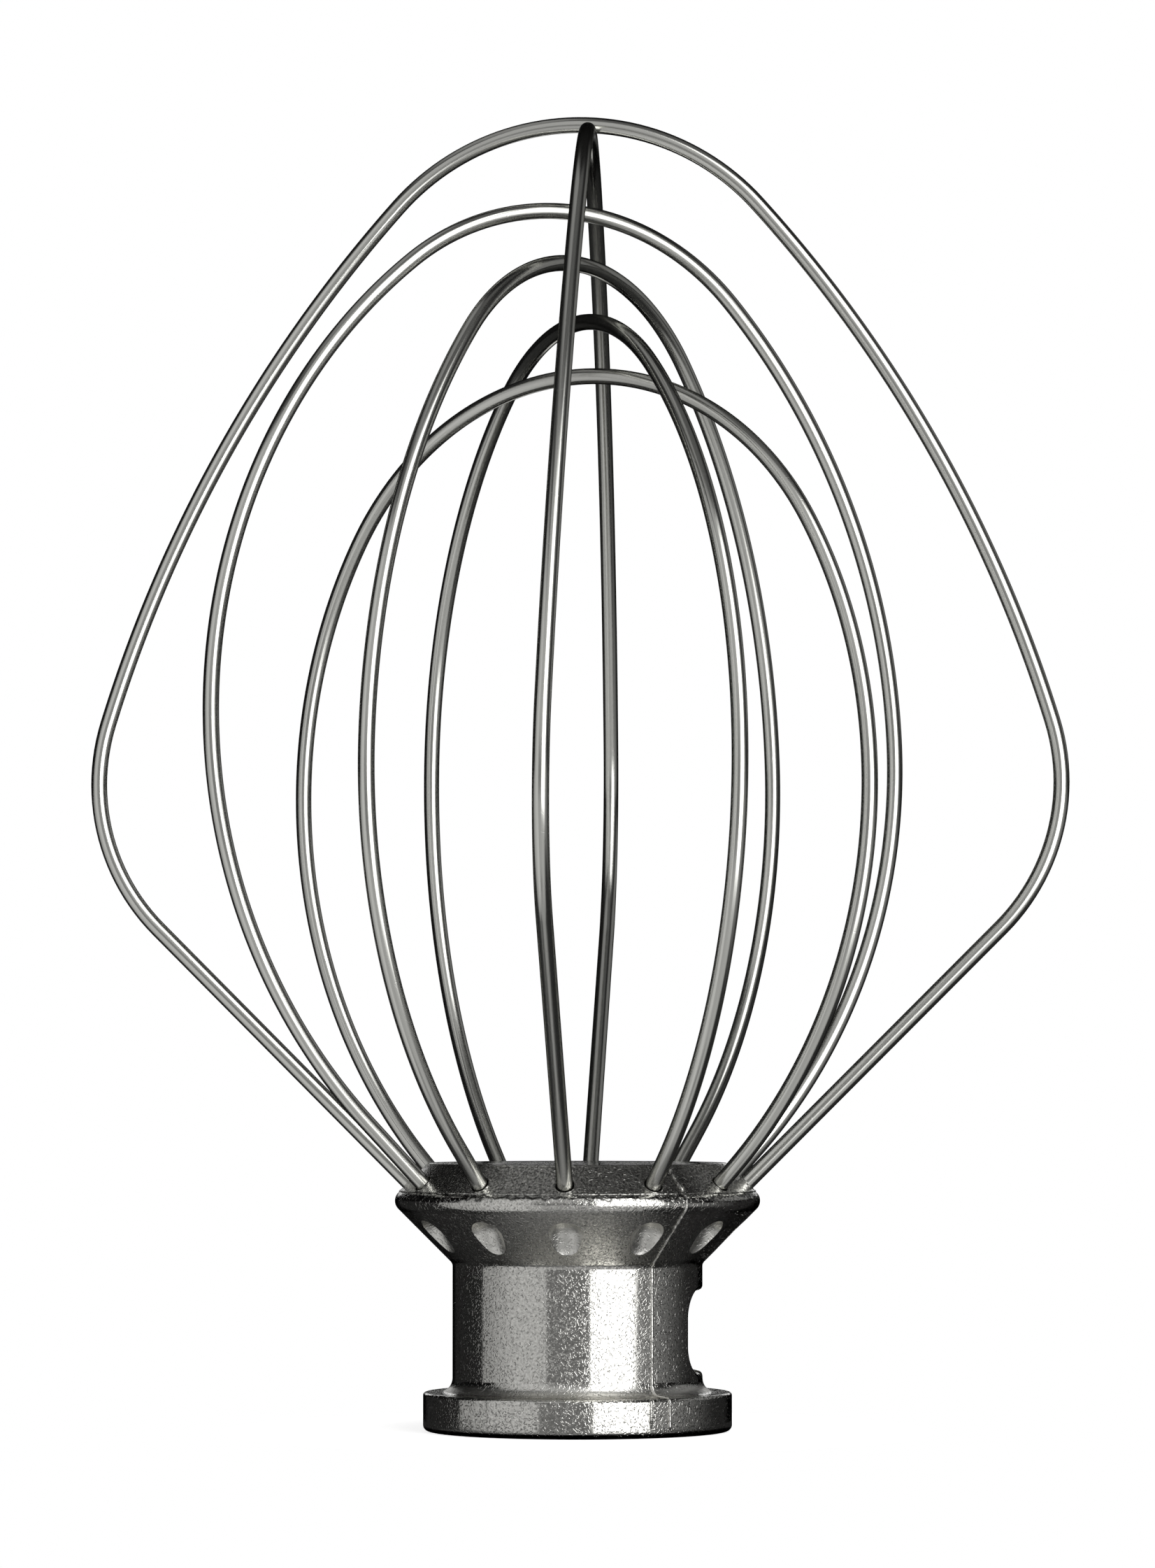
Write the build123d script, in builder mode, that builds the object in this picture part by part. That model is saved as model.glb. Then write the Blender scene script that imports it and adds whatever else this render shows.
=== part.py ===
"""Wire whisk for a stand mixer: a cast hub with a bayonet socket and six wire loops staked into it.

Millimetres. The whisk stands on its hub: the origin is the centre of the flange's underside and +Z
runs up the axis to the crown of the loops. The two wide loops lie along X and along Y.
"""

import os
from math import atan2, cos, degrees, hypot, radians, sin, sqrt, tan
from typing import NamedTuple

from build123d import *

# Hub casting, turned about the axis
flange_radius = 20.0
flange_height = 5.0
flange_foot_round = 0.8
flange_top_round = 0.4
neck_radius = 16.2
neck_height = 16.6
neck_base_fillet = 1.8
neck_top_fillet = 0.8
flare_angle = 45.0  # slope of the flare, and of the wires where they leave the hub
rim_radius = 24.3  # sharp corner of the rim, before it is rounded
rim_round = 1.5
top_radius = 19.4  # flat end of the hub
top_round = 0.3

# Drive socket for the mixer's shaft and its cross pin
shaft_diameter = 12.7
shaft_clearance = 0.1
bore_depth = 28.0
bore_lead_in = 0.5
pin_diameter = 4.76
pin_reach = 11.4  # from the axis to the pin's tip
pin_clearance = 0.62
keyway_angle = 40.0
window_start_angle = -23.0
window_span = 91.0
window_ledge = 2.7  # from the flange to the ledge that the pin bears on
window_height = 10.5
window_corner = 3.5
window_round = 0.6  # on the window's outer edge
window_lap = 1.0  # how far the window's cutter runs past each side of the neck's wall
pin_seat_depth = 1.0

# Wire holes and the staking dimples that close them on the wires
wire_diameter = 2.1
hole_clearance = 0.15
hole_depth = 11.5
seat_clearance = 0.05  # between a wire's cut end and the bottom of its hole
hole_offset = 3.3  # from the flare's surface in to the hole's axis
stake_radius = 2.5  # round nose of the staking punch
stake_run = 2.2  # straight stretch of that nose
stake_tilt = 20.0  # how much more upright than the flare the nose lies
stake_depth = 1.0  # at the dimple's middle
stake_distance = 6.6  # from the rim down the flare to the dimple's middle

# Wide loops, along the wire's centreline
outer_reach = 62.8
outer_widest_height = 84.0
outer_shoulder_lean = 17.0
outer_crown_radius = 31.5
outer_crown_height = 170.1
crossing_gap = 0.2
outer_b_crown_shift = -5.0
outer_b_rolls = (0.75, -1.6)  # turn of the back half and of the front half about its own hole

# Nested loops, tallest first: sway carries a loop off centre along its own plane, and tip turns it there
inner_shoulder_lean = 3.0
inner_1_reach = 49.3
inner_1_widest_height = 89.6
inner_1_crown_radius = 33.9
inner_1_crown_height = 158.6
inner_1_sway = -2.2
inner_1_tip = 2.8  # drop of the first side's widest point, and rise of the last side's
inner_2_reach = 47.0
inner_2_widest_height = 84.5
inner_2_crown_radius = 33.5
inner_2_crown_height = 151.8
inner_2_sway = 0.5
inner_3_reach = 46.0
inner_3_widest_height = 85.5
inner_3_crown_radius = 34.5
inner_3_crown_height = 144.0
inner_4_reach = 44.5
inner_4_widest_height = 83.0
inner_4_crown_radius = 41.0
inner_4_crown_height = 137.0

# Hub profile corners as (radius, height)
slope = radians(flare_angle)
neck_top = flange_height + neck_height
rim_height = neck_top + (rim_radius - neck_radius) * tan(slope)
top_height = rim_height + (rim_radius - top_radius) / tan(slope)
foot_corner = (flange_radius, 0)
flange_corner = (flange_radius, flange_height)
neck_base_corner = (neck_radius, flange_height)
neck_top_corner = (neck_radius, neck_top)
rim_corner = (rim_radius, rim_height)
top_corner = (top_radius, top_height)

# Sizes that follow from the fits
bore_radius = shaft_diameter / 2 + shaft_clearance
pin_slot_width = pin_diameter + 2 * pin_clearance
pin_slot_reach = pin_reach + pin_clearance
ledge_height = flange_height + window_ledge
wire_radius = wire_diameter / 2
hole_radius = wire_radius + hole_clearance
wire_insertion = hole_depth - seat_clearance
mouth_radius = rim_radius - hole_offset * sin(slope)
mouth_height = rim_height + hole_offset * cos(slope)

# The second wide loop passes under the first where they cross on the axis
crown_rise = outer_crown_radius - sqrt(outer_crown_radius**2 - outer_b_crown_shift**2)
outer_b_crown_height = outer_crown_height - wire_diameter - crossing_gap + crown_rise


class Loop(NamedTuple):
    """One bent wire; reach and shift run along the loop's plane, positive towards its first hole."""

    name: str
    first_reach: float
    last_reach: float
    first_widest_height: float
    last_widest_height: float
    shoulder_lean: float
    crown_radius: float
    crown_height: float
    crown_shift: float = 0.0
    rolls: tuple = (0.0, 0.0)


def wide_loop(name, crown_height, crown_shift=0.0, rolls=(0.0, 0.0)):
    """A loop with shoulders and two equal sides."""
    return Loop(
        name, outer_reach, outer_reach, outer_widest_height, outer_widest_height,
        outer_shoulder_lean, outer_crown_radius, crown_height, crown_shift, rolls,
    )


def nested_loop(name, reach, widest_height, crown_radius, crown_height, sway=0.0, tip=0.0):
    """A narrow loop whose two sides and crown are all carried off centre by its sway."""
    return Loop(
        name, reach + sway, reach - sway, widest_height - tip, widest_height + tip,
        inner_shoulder_lean, crown_radius, crown_height, sway,
    )


# In the order of their first holes around the hub, from +X towards +Y
loops = (
    wide_loop("outer_wire_a", outer_crown_height),
    nested_loop(
        "inner_wire_1", inner_1_reach, inner_1_widest_height,
        inner_1_crown_radius, inner_1_crown_height, inner_1_sway, inner_1_tip,
    ),
    nested_loop(
        "inner_wire_2", inner_2_reach, inner_2_widest_height,
        inner_2_crown_radius, inner_2_crown_height, inner_2_sway,
    ),
    wide_loop("outer_wire_b", outer_b_crown_height, outer_b_crown_shift, outer_b_rolls),
    nested_loop(
        "inner_wire_3", inner_3_reach, inner_3_widest_height,
        inner_3_crown_radius, inner_3_crown_height,
    ),
    nested_loop(
        "inner_wire_4", inner_4_reach, inner_4_widest_height,
        inner_4_crown_radius, inner_4_crown_height,
    ),
)
hole_count = 2 * len(loops)
hole_pitch = 360 / hole_count


def slope_plane(turn, radius, height, tilt=0.0):
    """Plane square to the flare's slope, or tilted up from it, centred beside the axis at this turn."""
    angle = radians(turn)
    rise = slope + radians(tilt)
    outwards = (cos(rise) * cos(angle), cos(rise) * sin(angle), sin(rise))
    return Plane(origin=(radius * cos(angle), radius * sin(angle), height), z_dir=outwards)


def radial_plane(turn):
    """Plane through the axis: its x points outwards at this turn, and its y points up."""
    angle = radians(turn)
    return Plane(origin=(0, 0, 0), x_dir=(cos(angle), sin(angle), 0), z_dir=(sin(angle), -cos(angle), 0))


def hole_plane(turn, roll):
    """Radial plane rolled about a wire hole: its x runs out along the hole's axis from the mouth."""
    mouth = slope_plane(turn, mouth_radius, mouth_height)
    sideways = radial_plane(turn).z_dir.rotate(Axis((0, 0, 0), mouth.z_dir), roll)
    return Plane(origin=mouth.origin, x_dir=mouth.z_dir, z_dir=sideways)


def half_loop(turn, roll, reach, widest_height, crown_x, loop):
    """Wire from the bottom of the hole at this turn up to where the crown begins.

    The shoulder arc is tangent to the straight run out of the hole, the crown arc tops the loop, and
    the side arc is tangent to both.
    """
    lean = radians(loop.shoulder_lean)
    widest = widest_height - mouth_height
    crown_y = loop.crown_height - loop.crown_radius - mouth_height
    shoulder = (cos(slope) * widest - sin(slope) * (reach - mouth_radius)) / (1 - sin(slope))
    across = reach - shoulder - crown_x
    down = widest - crown_y
    change = shoulder - loop.crown_radius
    growth = (across**2 + down**2 - change**2) / (
        2 * (across * cos(lean) + down * sin(lean) + change)
    )
    side_x = reach - shoulder - growth * cos(lean)
    side_y = widest - growth * sin(lean)
    crown_turn = degrees(atan2(crown_y - side_y, crown_x - side_x))
    straight = (reach - shoulder * (1 - sin(slope)) - mouth_radius) / cos(slope)
    with BuildLine(hole_plane(turn, roll)) as half:
        run = Line((-wire_insertion, 0), (straight, 0))
        run = JernArc(run @ 1, run % 1, shoulder, 90 - flare_angle + loop.shoulder_lean)
        JernArc(run @ 1, run % 1, shoulder + growth, crown_turn - loop.shoulder_lean)
    return half.line


def crown_middle(start, leaving, end, arriving):
    """Point where two arcs meet that carry a wire from one place and heading to another."""
    chord = end - start
    heading = leaving + arriving
    swing = 2 * (1 - leaving.dot(arriving))
    reach = (sqrt(chord.dot(heading) ** 2 + swing * chord.dot(chord)) - chord.dot(heading)) / swing
    return (start + end + (leaving - arriving) * reach) * 0.5


def on_neck(point):
    """Whether a point lies on the neck's outer wall."""
    return abs(hypot(point.X, point.Y) - neck_radius) < window_lap / 2


# Rounded punch that stakes the hub's wall onto a wire, lying a little steeper than the flare
with BuildPart() as punch:
    Cylinder(stake_radius, stake_run)
    with Locations((0, 0, stake_run / 2), (0, 0, -stake_run / 2)):
        Sphere(stake_radius)

# Sector of a ring that opens the bayonet window in the neck, round at its corners
with BuildPart() as window_cutter:
    with BuildSketch(radial_plane(window_start_angle)):
        with Locations((bore_radius - window_lap, ledge_height)):
            Rectangle(
                neck_radius - bore_radius + 2 * window_lap, window_height, align=(Align.MIN, Align.MIN)
            )
    revolve(axis=Axis.Z, revolution_arc=window_span)
    sector_edges = window_cutter.edges().filter_by(GeomType.LINE)
    fillet(sector_edges.filter_by(Axis.Z, reverse=True), window_corner)

# Hub
with BuildPart() as hub:
    with BuildSketch(Plane.XZ) as profile:
        with BuildLine():
            Polyline(
                (0, 0), foot_corner, flange_corner, neck_base_corner, neck_top_corner,
                rim_corner, top_corner, (0, top_height), close=True,
            )
        make_face()
        for corner, round_radius in (
            (foot_corner, flange_foot_round),
            (flange_corner, flange_top_round),
            (neck_base_corner, neck_base_fillet),
            (neck_top_corner, neck_top_fillet),
            (rim_corner, rim_round),
            (top_corner, top_round),
        ):
            fillet(profile.vertices().sort_by_distance((*corner, 0))[0], round_radius)
    revolve(axis=Axis.Z)

    # Blind bore for the shaft, with a lead-in at its mouth
    with Locations(Plane(origin=(0, 0, 0), z_dir=(0, 0, -1))):
        Hole(bore_radius, depth=bore_depth)
    bore_mouth = hub.edges(Select.LAST).filter_by(GeomType.CIRCLE).sort_by(Axis.Z)[0]
    chamfer(bore_mouth, bore_lead_in)

    # Bayonet window through the neck's wall
    add(window_cutter.part, mode=Mode.SUBTRACT)
    window_rim = hub.edges(Select.LAST).filter_by(lambda edge: on_neck(edge @ 0.5))
    fillet(window_rim, window_round)

    # Keyway that lets the cross pin in through the flange, up to the window
    with BuildSketch():
        Rectangle(
            pin_slot_reach, pin_slot_width, rotation=keyway_angle, align=(Align.MIN, Align.CENTER)
        )
    extrude(amount=ledge_height + window_corner, mode=Mode.SUBTRACT)

    # Round seat in the window's ledge, where the pin drops in and locks
    seat_radius = pin_slot_width / 2
    with Locations(Plane(origin=(0, 0, ledge_height - pin_seat_depth + seat_radius), z_dir=(1, 0, 0))):
        Cylinder(
            seat_radius, neck_radius + rim_round,
            align=(Align.CENTER, Align.CENTER, Align.MIN), mode=Mode.SUBTRACT,
        )

    # Blind wire holes, square to the upper cone and parallel to the flare
    turns = [index * hole_pitch for index in range(hole_count)]
    with Locations(*[slope_plane(turn, mouth_radius, mouth_height) for turn in turns]):
        Hole(hole_radius, depth=hole_depth)

    # Staking dimples, one over each hole
    stake_lift = stake_radius - stake_depth
    punch_radius = rim_radius - stake_distance * cos(slope) + stake_lift * sin(slope)
    punch_height = rim_height - stake_distance * sin(slope) - stake_lift * cos(slope)
    with Locations(*[slope_plane(turn, punch_radius, punch_height, stake_tilt) for turn in turns]):
        add(punch.part, mode=Mode.SUBTRACT)

os.makedirs("parts", exist_ok=True)
hub.part.label = "hub"
export_step(hub.part, "parts/hub.step")

# Wire loops, each swept along one run of tangent bends from hole bottom to hole bottom
for index, loop in enumerate(loops):
    turn = index * hole_pitch
    first_half = half_loop(
        turn, loop.rolls[0], loop.first_reach, loop.first_widest_height, loop.crown_shift, loop
    )
    last_half = half_loop(
        turn + 180, loop.rolls[1], loop.last_reach, loop.last_widest_height, -loop.crown_shift, loop
    )
    with BuildPart() as wire:
        with BuildLine():
            add(first_half)
            middle = crown_middle(first_half @ 1, first_half % 1, last_half @ 1, -(last_half % 1))
            TangentArc(first_half @ 1, middle, tangent=first_half % 1)
            TangentArc(last_half @ 1, middle, tangent=last_half % 1)
            add(last_half)
        with BuildSketch(Plane(origin=first_half @ 0, z_dir=first_half % 0)):
            Circle(wire_radius)
        sweep()
    wire.part.label = loop.name
    export_step(wire.part, f"parts/{loop.name}.step")
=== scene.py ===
"""Wire whisk for a stand mixer: drawn wires, burnished hub, casting marks, studio and camera.

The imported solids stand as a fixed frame, in metres with +Z up the axis, and each piece here goes where
the frame says. Sizes whose names end in _mm are millimetres, and azimuths are degrees from the camera's
side of the whisk, positive to the right.
"""

import math
from typing import NamedTuple

import bpy
from bpy.props import FloatProperty, FloatVectorProperty, IntProperty, PointerProperty
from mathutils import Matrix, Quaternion, Vector


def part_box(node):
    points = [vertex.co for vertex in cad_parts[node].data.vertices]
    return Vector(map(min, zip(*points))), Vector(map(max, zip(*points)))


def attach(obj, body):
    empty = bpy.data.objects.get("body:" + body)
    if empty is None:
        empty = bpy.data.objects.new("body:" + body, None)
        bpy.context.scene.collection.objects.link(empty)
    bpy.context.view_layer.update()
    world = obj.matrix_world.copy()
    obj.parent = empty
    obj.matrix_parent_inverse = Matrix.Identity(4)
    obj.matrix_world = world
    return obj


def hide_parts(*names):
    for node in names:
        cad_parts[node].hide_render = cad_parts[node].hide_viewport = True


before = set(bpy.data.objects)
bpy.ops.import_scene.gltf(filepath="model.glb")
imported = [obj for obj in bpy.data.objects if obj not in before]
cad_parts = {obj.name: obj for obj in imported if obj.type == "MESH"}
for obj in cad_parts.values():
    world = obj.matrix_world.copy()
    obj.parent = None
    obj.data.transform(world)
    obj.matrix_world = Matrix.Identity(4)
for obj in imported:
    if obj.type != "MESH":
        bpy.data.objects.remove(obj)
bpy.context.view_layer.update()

bl_info = {
    "name": "Wire Whisk",
    "version": (1, 0, 0),
    "blender": (4, 5, 0),
    "location": "3D View > Sidebar > Whisk",
    "description": "Dresses the wire whisk with its finishes, casting marks, studio and camera",
    "category": "Object",
}

MM = 0.001
BODY = "root"

# Where the wires leave the hub: the slope of its flare and the mouths of its wire holes
FLARE = math.radians(45)
MOUTH_RADIUS_MM = 21.967
MOUTH_HEIGHT_MM = 32.033
HOLE_RADIUS_MM = 1.2
WIRE_INSERTION_MM = 11.45
HOLE_PITCH = 30.0

# The foot of the neck: its fillet runs from the top of the flange to this height
FLANGE_TOP_MM = 5.0
FOOT_TOP_MM = 6.8

# The flare's cone: its height less its radius, and the heights where it starts, where its dimples end,
# where its rim lies and where the top cone ends
FLARE_OFFSET_MM = 5.4
NECK_TOP_MM = 21.6
DIMPLE_TOP_MM = 28.3
RIM_HEIGHT_MM = 29.7
HEAD_MM = 34.4

# How soft the edges of the casting's dull patches are, how deep a dimple lies at most, how far the slow
# waves move the edge above the rim, and how high above the rim that edge lies
DIMPLE_EDGE_MM = (0.02, 0.10)
DIMPLE_DEPTH_MM = 2.0
FLARE_FOOT_EDGE_MM = 0.8
FLARE_HEAD_EDGE_MM = 0.5
FOOT_EDGES_MM = (0.2, 0.9)
RIM_WAVER_MM = 1.6
RIM_LINE_RISE_MM = 1.3
RIM_LINE_EDGES_MM = (0.0, 0.2, 0.35, 0.6)
TOP_EDGE_MM = (0.3, 0.6)

# What the marks do to the casting: gloss lost to specks, depth of a nick in specks, and shares of soil in
# nicks, of painted shade on the top cone, of grain on the flare, of lightening in the dimples and the neck's
# foot, and of darkening in the line above the rim
SPECK_DULLING = 0.08
NICK_DEPTH = 1.4
NICK_SOIL = 0.2
# Extra darkening of the top cone: painted shade
TOP_PAINTED_SHADE = 1.1
FLARE_SOIL = 0.2
DIMPLE_AND_FOOT_LIGHTENING = 0.8
RIM_LINE_DARKENING = 0.85

# What the drawing lines do to the wire: gloss lost, shade in them, and depth of a scratch in lines
LINE_DULLING = 0.06
LINE_SHADE = 0.12
SCRATCH_DEPTH = 2.0

# Flash and burrs: turn between two points of the rim's line, sides of a bead, how fast beads change along
# the line, their least and most in radii, and how they swell from the neck to the top cone
RIM_LINE_STEP = 3
BEAD_SIDES = 8
FLASH_CHANGE = 650.0
FLASH_RANGE = (0.35, 1.25)
BURR_CHANGE = 900.0
BURR_RANGE = (0.15, 1.3)
BURR_POINTS = 64
SWELL_HEIGHTS_MM = (-0.5, 1.0)
TOP_SWELL = 1.7

# The stage: middle of the cards' sphere, degrees between two rows of a card, sides of a disc, depths of the
# floor and of the glowing sheet of painted bounce light, and the shares of the floor's radius over which its
# glow rises
STUDIO_MIDDLE_MM = 60.0
CARD_STEP = 4
DISC_SIDES = 96
FLOOR_DEPTH_MM = 0.05
BOUNCE_DEPTH_MM = 0.02
FLOOR_FADE = (0.45, 0.95)
FLOOR_GLOW = 0.80
FLOOR_GREY = 0.85

# The painted bounce light, a glow seen only in reflections: how far before the axis it is brightest, how far
# it reaches, its most and least, and the flange's painted shadow in it, with the width of the shadow's edge
BOUNCE_FRONT_MM = 22.0
BOUNCE_REACH_MM = 28.0
BOUNCE_RANGE = (0.28, 0.02)
BOUNCE_PAINTED_SHADOW_MM = 20.6
BOUNCE_PAINTED_SHADOW_EDGE_MM = 2.5


class Loop(NamedTuple):
    """One bent wire in millimetres and degrees: reach and shift run along its plane, to its first hole."""

    node: str
    turn: float
    reaches: tuple
    widest_heights: tuple
    shoulder_lean: float
    crown_radius: float
    crown_height: float
    crown_shift: float = 0.0
    rolls: tuple = (0.0, 0.0)


LOOPS = (
    Loop("outer_wire_a", 0, (62.8, 62.8), (84.0, 84.0), 17, 31.5, 170.1),
    Loop("inner_wire_1", 30, (47.1, 51.5), (86.8, 92.4), 3, 33.9, 158.6, -2.2),
    Loop("inner_wire_2", 60, (47.5, 46.5), (84.5, 84.5), 3, 33.5, 151.8, 0.5),
    Loop("outer_wire_b", 90, (62.8, 62.8), (84.0, 84.0), 17, 31.5, 168.199, -5.0, (0.75, -1.6)),
    Loop("inner_wire_3", 120, (46.0, 46.0), (85.5, 85.5), 3, 34.5, 144.0),
    Loop("inner_wire_4", 150, (44.5, 44.5), (83.0, 83.0), 3, 41.0, 137.0),
)


class Seam(NamedTuple):
    """A line of flash left by the mould: its azimuth and the heights it runs between."""

    azimuth: float
    foot_mm: float
    head_mm: float


SEAMS = (Seam(40.0, 0.9, 34.2), Seam(32.0, 0.9, 4.9), Seam(220.0, 0.9, 34.2))


class Card(NamedTuple):
    """A sheet of the studio's surround in degrees: feathers soften its left, right, low and high edges."""

    name: str
    azimuths: tuple
    elevations: tuple
    radiance: float
    distance: float
    feathers: tuple = (0, 0, 0, 0)


CARDS = (
    Card("dark_band", (-180, 180), (-12, 0.3), 0.02, 0.80),
    Card("dark_low", (-180, 180), (0.3, 3), 0.004, 0.80),
    Card("dark_sides", (-155, 165), (3, 12), 0.004, 0.80),
    Card("dark_roof", (-180, 180), (12, 90), 0.010, 0.80),
    Card("dark_pit", (-180, 180), (-90, -12), 0.02, 0.80),
    Card("dark_back", (144, 216), (-60, 3), 0.0, 0.79, (10, 10, 0, 0)),
    Card("back_glow", (172, 188), (-34, -14), 1.6, 0.78, (3, 3, 4, 4)),
    Card("floor_glow", (-84, 84), (-90, -52), 0.32, 0.78, (24, 24, 0, 12)),
    Card("roof_left", (-150, -10), (48, 90), 0.25, 0.78, (30, 16, 16, 0)),
    Card("roof_right", (-10, 140), (52, 90), 0.09, 0.78, (0, 30, 16, 0)),
    Card("side_glow", (98, 156), (5, 48), 0.20, 0.78, (16, 12, 4, 14)),
    Card("fill_back", (-93, -24), (-66, 1), 0.34, 0.76, (1, 0, 8, 0)),
    Card("fill_back_high", (-78, -24), (1, 48), 0.34, 0.76, (3, 0, 0, 10)),
    Card("fill", (-93, -24), (-66, 1), 0.56, 0.74, (48, 0.5, 8, 0)),
    Card("fill_high", (-78, -24), (1, 48), 0.56, 0.74, (34, 0.5, 0, 10)),
    Card("front", (-25, 17), (-66, 48), 0.18, 0.76, (0, 0, 8, 10)),
    Card("front_low", (-25, 17), (-62, -8), 0.40, 0.755, (0, 0, 14, 8)),
    Card("front_high", (-25, 17), (-4, 66), 0.40, 0.755, (0, 0, 24, 16)),
    Card("under_key", (13, 74), (-70, -16), 0.42, 0.76, (0, 26, 8, 8)),
    Card("spill", (52, 128), (-32, 3), 0.26, 0.74, (0, 66, 16, 3)),
    Card("spill_high", (52, 96), (0, 54), 0.15, 0.74, (0, 40, 3, 14)),
    Card("key", (15, 62), (-25, 56), 2.6, 0.72, (2, 8, 14, 12)),
)


class WireSettings(bpy.types.PropertyGroup):
    """Sizes and finish of the drawn stainless wires."""

    diameter: FloatProperty(
        name="Diameter", description="Wire thickness", unit="LENGTH", precision=5,
        default=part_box("outer_wire_a")[1].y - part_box("outer_wire_a")[0].y,
    )
    sides: IntProperty(name="Sides", description="Faces around the wire", default=28, min=8)
    step: FloatProperty(
        name="Step", description="Longest stretch of bend between two rings", unit="LENGTH",
        precision=5, default=1.2 * MM,
    )
    tone: FloatVectorProperty(
        name="Tone", description="Colour of the polished steel", subtype="COLOR", size=3,
        default=(0.78, 0.78, 0.738), min=0, max=1,
    )
    roughness: FloatProperty(
        name="Roughness", description="Gloss of the drawn surface", subtype="FACTOR",
        default=0.17, min=0, max=1,
    )
    edge_tint: FloatVectorProperty(
        name="Edge Tint", description="Tint of the reflections at the steel's grazing edges",
        subtype="COLOR", size=3, default=(0.05, 0.05, 0.05), min=0, max=1,
    )
    line_width: FloatProperty(
        name="Line Width", description="Width of the drawing lines", unit="LENGTH", precision=6,
        default=0.11 * MM,
    )
    line_length: FloatProperty(
        name="Line Length", description="Length of the drawing lines", unit="LENGTH", precision=5,
        default=9 * MM,
    )
    line_depth: FloatProperty(
        name="Line Depth", description="Depth of the drawing lines", unit="LENGTH", precision=7,
        default=0.0012 * MM,
    )
    scratch_reach: FloatProperty(
        name="Scratch Reach", description="Spacing of the handling scratches", unit="LENGTH",
        precision=5, default=2.2 * MM,
    )
    scratch_width: FloatProperty(
        name="Scratch Width", description="Width of the handling scratches", unit="LENGTH",
        precision=6, default=0.05 * MM,
    )


class HubSettings(bpy.types.PropertyGroup):
    """Finish of the tumbled aluminium casting."""

    tone: FloatVectorProperty(
        name="Tone", description="Colour of the bare aluminium", subtype="COLOR", size=3,
        default=(0.87, 0.861, 0.82), min=0, max=1,
    )
    roughness: FloatProperty(
        name="Roughness", description="Gloss of the smoothest patches", subtype="FACTOR",
        default=0.09, min=0, max=1,
    )
    speck_size: FloatProperty(
        name="Speck Size", description="Size of the specks in the skin", unit="LENGTH", precision=6,
        default=0.30 * MM,
    )
    speck_depth: FloatProperty(
        name="Speck Depth", description="Height of the specks", unit="LENGTH", precision=7,
        default=0.016 * MM,
    )
    cone_roughness: FloatProperty(
        name="Cone Roughness", description="Gloss of the flare and the top cone", subtype="FACTOR",
        default=0.24, min=0, max=1,
    )
    dimple_roughness: FloatProperty(
        name="Dimple Roughness", description="Gloss of the staking dimples", subtype="FACTOR",
        default=0.33, min=0, max=1,
    )
    foot_roughness: FloatProperty(
        name="Foot Roughness", description="Gloss of the fillet at the neck's foot", subtype="FACTOR",
        default=0.3, min=0, max=1,
    )
    soil_and_shade: FloatProperty(
        name="Soil", description="How much the grain darkens the metal", subtype="FACTOR",
        default=0.42, min=0, max=1,
    )
    wave_size: FloatProperty(
        name="Wave Size", description="Length of the skin's slow waves", unit="LENGTH", precision=5,
        default=0.9 * MM,
    )
    wave_depth: FloatProperty(
        name="Wave Depth", description="Height of the skin's slow waves", unit="LENGTH", precision=7,
        default=0.004 * MM,
    )
    scratch_reach: FloatProperty(
        name="Scratch Reach", description="Spacing of the tumbling scratches", unit="LENGTH",
        precision=5, default=1.0 * MM,
    )
    scratch_width: FloatProperty(
        name="Scratch Width", description="Width of the tumbling scratches", unit="LENGTH",
        precision=6, default=0.06 * MM,
    )
    nick_reach: FloatProperty(
        name="Nick Reach", description="Spacing of the small nicks", unit="LENGTH",
        precision=5, default=0.45 * MM,
    )
    nick_width: FloatProperty(
        name="Nick Width", description="Width of the small nicks", unit="LENGTH",
        precision=6, default=0.07 * MM,
    )


class SeamSettings(bpy.types.PropertyGroup):
    """Flash lines along the mould's parting and burrs around the wire holes."""

    bead: FloatProperty(
        name="Bead", description="Radius of the flash line on the neck", unit="LENGTH", precision=6,
        default=0.20 * MM,
    )
    spacing: FloatProperty(
        name="Spacing", description="Distance between two rings of the flash line", unit="LENGTH",
        precision=6, default=0.12 * MM,
    )
    burr: FloatProperty(
        name="Burr", description="Radius of the raised lip at a wire hole", unit="LENGTH", precision=6,
        default=0.11 * MM,
    )
    rim_bead: FloatProperty(
        name="Rim Bead", description="Radius of the flash line round the rim", unit="LENGTH", precision=6,
        default=0.07 * MM,
    )
    rim_flash_height: FloatProperty(
        name="Rim Flash Height", description="Height of the flash line round the rim", unit="LENGTH",
        precision=5, default=30.95 * MM,
    )
    seed: IntProperty(name="Seed", description="Pattern of the breaks in the flash", default=7)


class StageSettings(bpy.types.PropertyGroup):
    """Floor and camera."""

    floor_radius: FloatProperty(
        name="Floor Radius", description="Radius of the pale floor", unit="LENGTH", default=46 * MM,
    )
    # Radius of the glowing sheet of painted bounce light that the flare mirrors
    bounce_radius: FloatProperty(
        name="Bounce Radius", description="Radius of the floor that the flare shows in reflections",
        unit="LENGTH", default=34 * MM,
    )
    camera_azimuth: FloatProperty(
        name="Azimuth", description="Turn of the camera round the whisk", subtype="ANGLE",
        default=math.radians(4.2),
    )
    camera_distance: FloatProperty(
        name="Distance", description="From the axis to the camera", unit="LENGTH", default=0.7694,
    )
    camera_height: FloatProperty(
        name="Height", description="Height of the camera", unit="LENGTH", default=0.0459,
    )
    camera_pitch: FloatProperty(
        name="Pitch", description="Upward tilt of the camera", subtype="ANGLE",
        default=math.radians(2.819),
    )
    lens: FloatProperty(
        name="Lens", description="Focal length over a frame 36 mm tall", unit="CAMERA", default=135.92,
    )


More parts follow.
